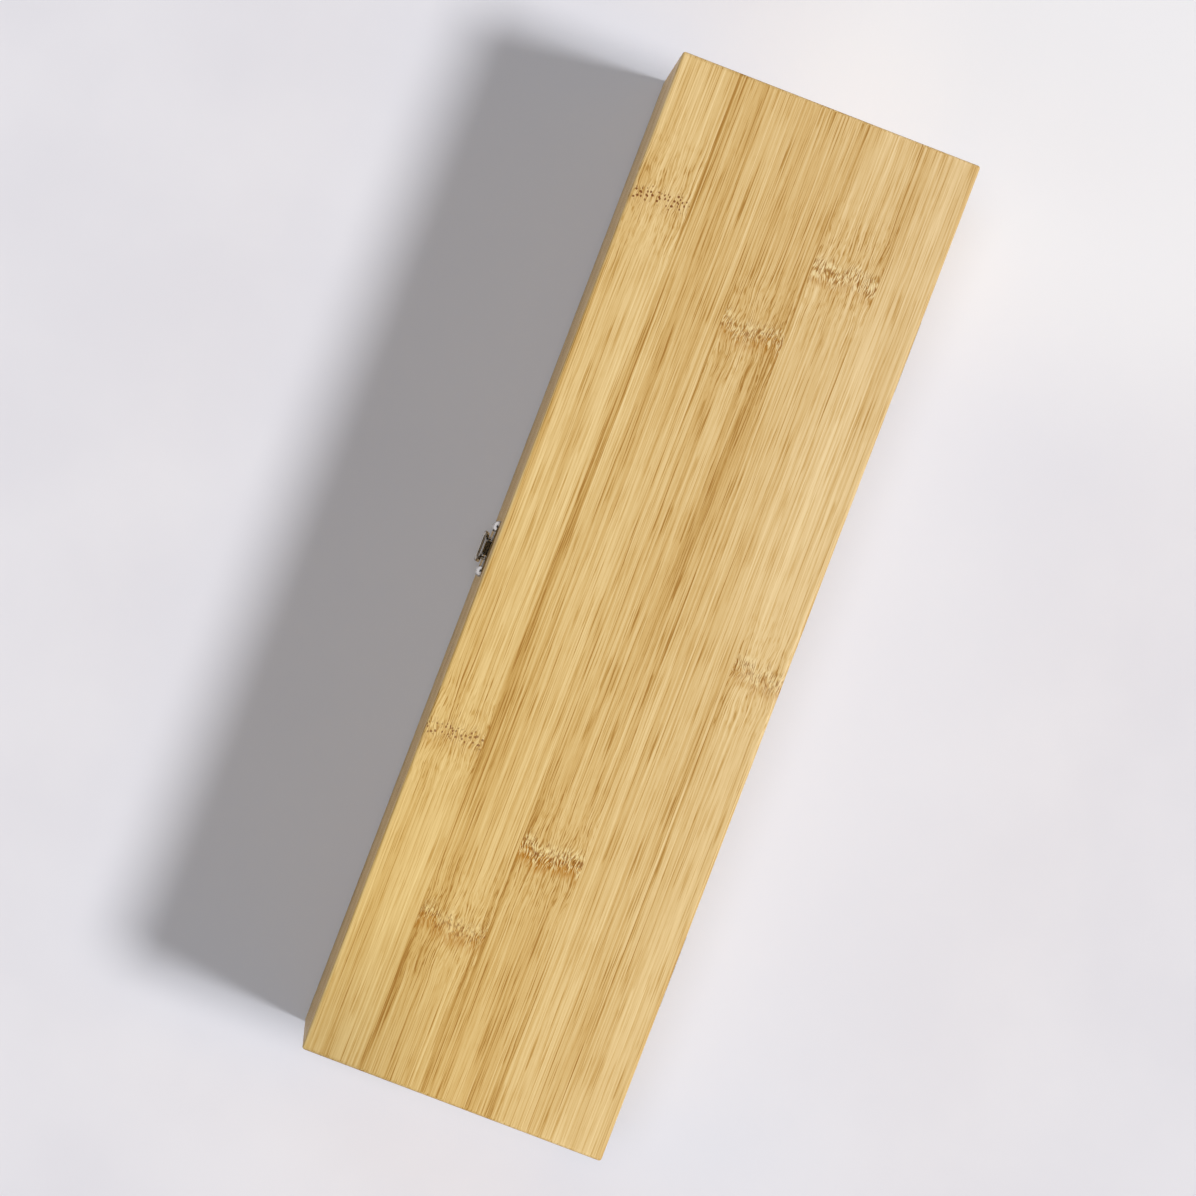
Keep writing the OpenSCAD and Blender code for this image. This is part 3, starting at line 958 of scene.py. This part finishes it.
@dataclass
class CrossScrew:
    """A turned wood screw with a cross recess. It points down, and the head's seat is at 0.

    Attributes:
        head_width: Diameter of the head.
        rise: How high a domed head stands over its seat; 0 for a countersunk head.
        sink: How deep a countersunk head reaches; 0 for a domed head.
        shank: Diameter of the shank.
        length: From the seat to the tip.
        steps: How many faces it has round its axis.
        rim: How much of a domed head's rise is its upright rim, 0 to 1.
        arm: Half the length of the cross, as a share of the head's width.
        slot: Half the width of the cross's arms, as a share of the head's width.
        recess: How deep the cross is, as a share of the head's height.
        taper: How wide the cross is at its floor, as a share of its width at the top.
    """

    head_width: float
    rise: float
    sink: float
    shank: float
    length: float
    steps: int = 40
    rim: float = 0.12
    arm: float = 0.31
    slot: float = 0.07
    recess: float = 0.75
    taper: float = 0.45

    def profile(self) -> list[tuple[float, float]]:
        """Draws the turned outline, from the top of the head to the tip.

        Returns:
            The radius and height of each point.
        """
        outer, core = self.head_width / 2, self.shank / 2
        if self.sink:
            head = [(0.0, 0.0), (outer, 0.0), (core, -self.sink)]
        else:
            turns = [math.radians(angle) for angle in range(90, -1, -10)]
            edge = self.rise * self.rim
            dome = self.rise - edge
            head = [(outer * math.cos(turn), edge + dome * math.sin(turn)) for turn in turns]
            head += [(outer, 0.0), (core, 0.0)]
        return head + [(core, self.shank - self.length), (0.0, -self.length)]

    def turned(self) -> bmesh.types.BMesh:
        """Spins the outline round its axis.

        Returns:
            The plain body.
        """
        mesh = bmesh.new()
        rim = [mesh.verts.new((radius, 0, height)) for radius, height in self.profile()]
        edges = [mesh.edges.new(pair) for pair in zip(rim, rim[1:])]
        bmesh.ops.spin(
            mesh,
            geom=rim + edges,
            cent=(0, 0, 0),
            axis=(0, 0, 1),
            dvec=(0, 0, 0),
            angle=math.tau,
            steps=self.steps,
            use_merge=True,
            use_duplicate=False,
        )
        bmesh.ops.remove_doubles(mesh, verts=mesh.verts, dist=SPIN_WELD)
        bmesh.ops.recalc_face_normals(mesh, faces=mesh.faces)
        return mesh

    def punch(self) -> bmesh.types.BMesh:
        """Makes the tapered cross that is cut out of the head.

        Returns:
            The cross, which stands a little over the head.
        """
        arm, half = self.head_width * self.arm, self.head_width * self.slot
        depth = max(self.rise, self.sink) * self.recess
        over = self.head_width * PUNCH_SPARE
        mesh = bmesh.new()
        corner = [(arm, -half), (arm, half), (half, half)]
        ring = []
        for quarter in range(4):
            turn = Matrix.Rotation(quarter * math.pi / 2, 3, "Z")
            ring += [mesh.verts.new(turn @ Vector((x, y, self.rise + over))) for x, y in corner]
        top = mesh.faces.new(ring)
        grown = bmesh.ops.extrude_face_region(mesh, geom=[top])["geom"]
        floor = [part for part in grown if isinstance(part, bmesh.types.BMVert)]
        bmesh.ops.translate(mesh, verts=floor, vec=(0, 0, -depth - over))
        bmesh.ops.scale(mesh, verts=floor, vec=(self.taper, self.taper, 1))
        bmesh.ops.recalc_face_normals(mesh, faces=mesh.faces)
        return mesh

    def make(self) -> bpy.types.Mesh:
        """Cuts the recess out of the turned body.

        Returns:
            The screw's mesh, in millimetres.
        """
        body = plain_object("screw_body", self.turned())
        cutter = plain_object("screw_punch", self.punch())
        cut = body.modifiers.new("recess", "BOOLEAN")
        cut.operation, cut.solver, cut.object = "DIFFERENCE", "EXACT", cutter
        scene_now = bpy.context.evaluated_depsgraph_get()
        mesh = bpy.data.meshes.new_from_object(body.evaluated_get(scene_now))
        for spare in (body, cutter):
            bpy.data.objects.remove(spare)
        return mesh


def plain_object(name: str, mesh: bmesh.types.BMesh) -> bpy.types.Object:
    """Makes an object of a bmesh, and frees the bmesh.

    Args:
        name: The object's name.
        mesh: Its shape.

    Returns:
        The object.
    """
    data = bpy.data.meshes.new(name)
    mesh.to_mesh(data)
    mesh.free()
    made = bpy.data.objects.new(name, data)
    bpy.context.scene.collection.objects.link(made)
    return made


class Facing(enum.Enum):
    """The wall that a screw is driven into, as the turn that lays the screw on its side."""

    FRONT = 90
    BACK = -90


@dataclass
class Fasteners:
    """The screws of the latch and the hinges, each left at its own turn by the driver.

    Attributes:
        latch_screw: The domed screw of the two latch plates.
        hinge_screw: The countersunk screw of the hinge leaves.
        spacing: Distance between the two screws of a hinge leaf.
        turns: How far each screw of a group is turned round its axis, in degrees.
    """

    latch_screw: CrossScrew = field(default_factory=lambda: CrossScrew(3.6, 1.4, 0, 2.0, 6.0))
    hinge_screw: CrossScrew = field(default_factory=lambda: CrossScrew(2.8, 0, 0.6, 1.6, 6.0))
    spacing: float = 15.0
    turns: tuple[float, ...] = (17, 62, -9, 38)

    def build(self) -> None:
        """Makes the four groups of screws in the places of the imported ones."""
        steel = SCREW_STEEL.make()
        domed, flat = self.latch_screw.make(), self.hinge_screw.make()
        for node, body in (("latch_base_screws", "base"), ("catch_screws", "lid")):
            low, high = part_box(node)
            inset = self.latch_screw.head_width / 2 * MM
            places = [low[0] + inset, high[0] - inset]
            seat = high[1] - self.latch_screw.length * MM
            seats = [(x, seat, (low[2] + high[2]) / 2) for x in places]
            self.group(node, body, domed, Facing.FRONT, seats, steel)
        for node, body in (("hinge_base_screws", "base"), ("hinge_lid_screws", "lid")):
            low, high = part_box(node)
            places = []
            for side in ("left", "right"):
                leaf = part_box(f"hinge_{side}_{body}_leaf")
                middle = (leaf[0][0] + leaf[1][0]) / 2
                places += [middle + way * self.spacing / 2 * MM for way in (-1, 1)]
            seats = [(x, high[1], (low[2] + high[2]) / 2) for x in places]
            self.group(node, body, flat, Facing.BACK, seats, steel)

    def group(
        self,
        node: str,
        body: str,
        screw: bpy.types.Mesh,
        facing: Facing,
        places: list[tuple[float, float, float]],
        steel: bpy.types.Material,
    ) -> None:
        """Drives one group of screws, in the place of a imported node.

        Args:
            node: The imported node.
            body: The body that the screws move with.
            screw: One screw's mesh, in millimetres.
            facing: The wall that they are driven into.
            places: Where the seats of their heads are, in metres.
            steel: Their finish.
        """
        mesh = bmesh.new()
        lay = Matrix.Rotation(math.radians(facing.value), 4, "X") @ Matrix.Scale(MM, 4)
        for place, turn in zip(places, self.turns):
            known = set(mesh.verts)
            mesh.from_mesh(screw)
            fresh = [vert for vert in mesh.verts if vert not in known]
            spin = Matrix.Rotation(math.radians(turn), 4, "Z")
            move = Matrix.Translation(place) @ lay @ spin
            bmesh.ops.transform(mesh, matrix=move, verts=fresh)
        for face in mesh.faces:
            face.smooth = True
        piece = plain_object(f"turned_{node}", mesh)
        piece.data.materials.append(steel)
        ease_edges(piece, SCREW_EASE, 1)
        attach(piece, body)
        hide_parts(node)
        log.info("made %s", piece.name)


# The studio


@dataclass(frozen=True)
class PaintedFloorLight:
    """A patch of painted light on the floor: a tint with soft edges.

    Attributes:
        colour: The tint.
        strength: How strong it is in the middle, 0 to 1.
        along: Along the box, where it begins, is full, starts to fade and ends.
        across: The same four places, front to back.
    """

    colour: Colour
    strength: float
    along: tuple[float, float, float, float]
    across: tuple[float, float, float, float]

    def mask(self, x: Wire, y: Wire) -> Wire:
        """Finds how strong the tint is at a place.

        Args:
            x: The place along the box.
            y: The place front to back.

        Returns:
            The strength, 0 to 1.
        """
        held: Value = self.strength
        for wire, (begin, full, fade, end) in ((x, self.along), (y, self.across)):
            held = held * wire.smooth(begin, full) * wire.smooth(end, fade)
        return held


FLOOR_SHADES = (srgb(223, 221, 227), srgb(228, 226, 231))
FLOOR_CLOUDS_PER_MM = (0.012, 0.012, 0.012)
# Painted light on the floor, in two patches
PAINTED_FLOOR_LIGHT = (
    # A painted cool tint under and round the box, which cancels the warm light that the boards
    # throw onto the floor
    PaintedFloorLight(srgb(217, 221, 233), 0.8, (-215, -160, 160, 215), (-180, -55, 55, 180)),
    # A painted pool of brighter light beyond the left end of the box, towards the back
    PaintedFloorLight(srgb(240, 239, 241), 0.65, (-620, -340, -180, -90), (-60, 20, 240, 460)),
)
FLAG_BLACK = srgb(20, 19, 18)
WALL_WHITE = srgb(228, 226, 231)
SENSOR_WIDTH = 36.0
NEAREST_SEEN = 0.01


@dataclass
class Studio:
    """The floor, the lamps and the camera.

    Attributes:
        floor_reach: Half the side of the floor, in metres.
        flag_reach: Half the side of the dark card, in metres.
        flag_level: How high the dark card hangs, in metres.
        lamp_height: The lamp's height over the horizon, in degrees.
        lamp_width: How wide the lamp looks from the box, in degrees.
        lamp_power: The lamp's power on a surface that faces it.
        fill_height: The fill lamp's height over the horizon, in degrees.
        fill_width: How wide the fill lamp looks, in degrees.
        fill_power: The fill lamp's power.
        sky_top: Brightness of the sky overhead.
        sky_low: Brightness of the sky at the horizon.
        eye: Where the camera is.
        right: The camera's direction to the right of the picture.
        ahead: The direction that the camera looks in.
        focal: The lens's focal length, in millimetres.
    """

    floor_reach: float = 6.0
    flag_reach: float = 0.6
    flag_level: float = 1.1
    lamp_height: float = 55.0
    lamp_width: float = 12.0
    lamp_power: float = 2.33
    fill_height: float = 84.0
    fill_width: float = 16.0
    fill_power: float = 0.88
    sky_top: float = 0.1
    sky_low: float = 0.3
    eye: Vector = field(default_factory=lambda: Vector((22.6, -92.58, 1737.37)))
    right: Vector = field(default_factory=lambda: Vector((-0.357318, 0.932706, 0.048813)))
    ahead: Vector = field(default_factory=lambda: Vector((-0.012168, 0.04761, -0.998792)))
    focal: float = 150.545

    def build(self) -> None:
        """Makes the whole studio."""
        self.make_floor()
        self.make_flag()
        self.make_lamp("key", -self.lamp_height, self.lamp_width, self.lamp_power)
        fill = self.make_lamp("fill", self.fill_height, self.fill_width, self.fill_power)
        fill.visible_glossy = False
        self.make_sky()
        self.make_camera()

    def sheet(self, name: str, reach: float, level: float, finish: Surface) -> bpy.types.Object:
        """A flat square of the stage.

        Args:
            name: Its name.
            reach: Half its side, in metres.
            level: Its height over the floor, in metres.
            finish: Its finish.

        Returns:
            The square's object.
        """
        mesh = bmesh.new()
        bmesh.ops.create_grid(mesh, x_segments=1, y_segments=1, size=reach)
        bmesh.ops.translate(mesh, verts=mesh.verts, vec=(0, 0, level))
        made = plain_object(name, mesh)
        made.data.materials.append(finish.material)
        return made

    def make_floor(self) -> None:
        """A pale floor under the box, with patches of painted light near it."""
        shading = Surface("floor")
        place = shading.place()
        x, y, _ = shading.parts(place)
        cloud = shading.noise(shading.scaled(place, FLOOR_CLOUDS_PER_MM, (0, 0, 0)), 4.0)
        pale = shading.mixed(cloud.smooth(0.3, 0.7), *FLOOR_SHADES)
        # The patches of painted light
        for patch in PAINTED_FLOOR_LIGHT:
            pale = shading.mixed(patch.mask(x, y), pale, patch.colour)
        shading.dress({"Base Color": pale, "Roughness": 0.8, "Specular IOR Level": 0.2})
        self.sheet("floor", self.floor_reach, 0.0, shading)

    def make_flag(self) -> None:
        """A dark card over the box, which only bright metal mirrors."""
        shading = Surface("flag")
        shading.dress({"Base Color": FLAG_BLACK, "Roughness": 1.0})
        flag = self.sheet("flag", self.flag_reach, self.flag_level, shading)
        flag.visible_camera = flag.visible_diffuse = flag.visible_shadow = False
        flag.visible_transmission = flag.visible_volume_scatter = False

    def make_lamp(self, name: str, height: float, width: float, power: float) -> bpy.types.Object:
        """A soft lamp far away, square to the length of the box.

        Args:
            name: The lamp's name.
            height: Its height over the horizon, in degrees; below 0 it stands behind the box.
            width: How wide it looks from the box, in degrees.
            power: Its power on a surface that faces it.

        Returns:
            The lamp's object.
        """
        data = bpy.data.lights.new(name, "SUN")
        data.energy = power
        data.angle = math.radians(width)
        lamp = bpy.data.objects.new(name, data)
        lean = 90 - abs(height)
        lamp.rotation_euler = (math.radians(math.copysign(lean, height)), 0, 0)
        bpy.context.scene.collection.objects.link(lamp)
        return lamp

    def make_sky(self) -> None:
        """A soft sky, brighter low down, and a pale wall where the camera sees past the floor."""
        world = bpy.data.worlds.new("studio")
        world.use_nodes = True
        bpy.context.scene.world = world
        air = Shading(world.node_tree)
        spot = air.node("ShaderNodeTexCoord", {}, {})
        rise = air.parts(air.wire(spot, "Generated"))[Axis.HEIGHT.value].smooth(0, 1)
        glow = rise * (self.sky_top - self.sky_low) + self.sky_low
        sky = air.node("ShaderNodeBackground", {}, {"Strength": glow})
        wall = air.node("ShaderNodeBackground", {}, {"Color": WALL_WHITE})
        path = air.node("ShaderNodeLightPath", {}, {})
        seen = [air.wire(path, f"Is {ray} Ray") for ray in ("Camera", "Glossy", "Transmission")]
        mix = air.node(
            "ShaderNodeMixShader",
            {},
            {0: sum(seen[1:], start=seen[0]), 1: air.wire(sky, 0), 2: air.wire(wall, 0)},
        )
        air.node("ShaderNodeOutputWorld", {}, {"Surface": air.wire(mix, 0)})

    def make_camera(self) -> None:
        """The camera, high over the box as in the photograph."""
        data = bpy.data.cameras.new("camera")
        data.lens = self.focal
        data.sensor_width = SENSOR_WIDTH
        data.clip_start = NEAREST_SEEN
        camera = bpy.data.objects.new("camera", data)
        back = -self.ahead.normalized()
        right = (self.right - back * self.right.dot(back)).normalized()
        turn = Matrix((right, back.cross(right), back)).transposed().to_4x4()
        camera.matrix_world = Matrix.Translation(self.eye * MM) @ turn
        bpy.context.scene.collection.objects.link(camera)
        bpy.context.scene.camera = camera


def main() -> None:
    """Builds the studio and dresses the box."""
    logging.basicConfig(level=logging.INFO, format="%(name)s: %(message)s")
    bpy.context.scene.view_settings.view_transform = "Standard"
    Studio().build()
    Boards().build()
    Metalwork().build()
    Fasteners().build()


if __name__ == "__main__":
    main()
